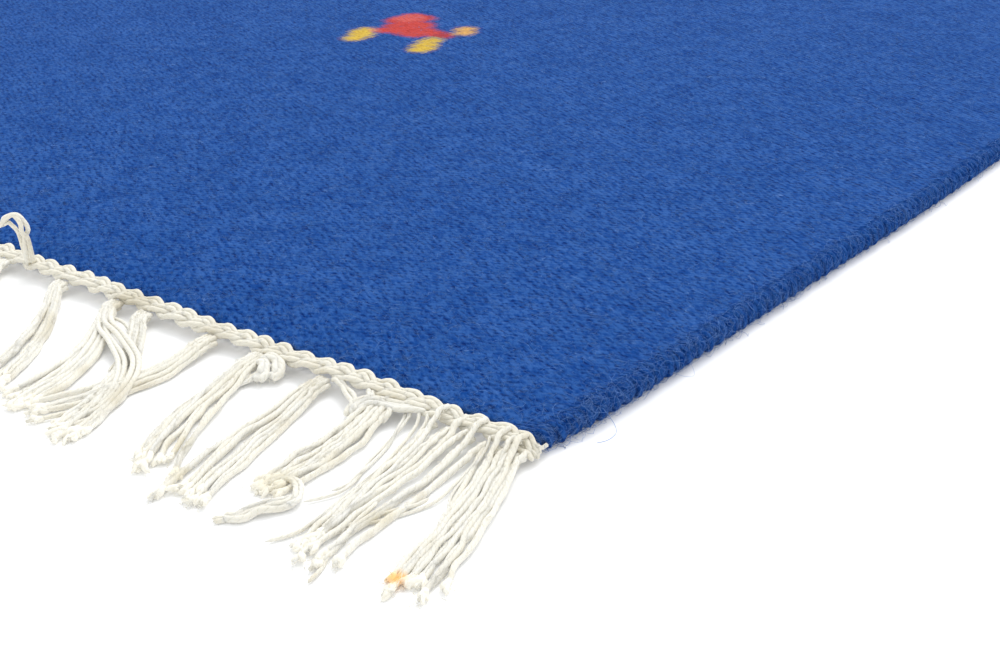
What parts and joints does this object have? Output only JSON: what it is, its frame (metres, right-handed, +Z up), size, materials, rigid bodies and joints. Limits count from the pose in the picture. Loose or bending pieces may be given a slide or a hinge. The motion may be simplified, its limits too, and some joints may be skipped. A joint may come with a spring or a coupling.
{
  "type": "small kilim rug",
  "caption": "Small flat-woven wool rug lying flat, with corded selvedges, and at each end a plaited heading with a loose cotton fringe.",
  "frame": {"origin": "on the floor under the middle of the rug, at the bottom centre of its box with the fringes", "axes": "+Y along the warp, from one fringed end to the other, +X across the rug, +Z up from the floor"},
  "size_m": [0.625, 0.9962, 0.0143],
  "materials": {
    "blue_wool": "flat-woven wool in blue, matt and slightly hairy, with small red and yellow figures",
    "natural_cotton": "plied cotton warp yarn, undyed cream, matt"
  },
  "bodies": {
    "root": {"kilim_cloth": "blue_wool", "fringe_front": "natural_cotton", "fringe_back": "natural_cotton"}
  },
  "joints": []
}
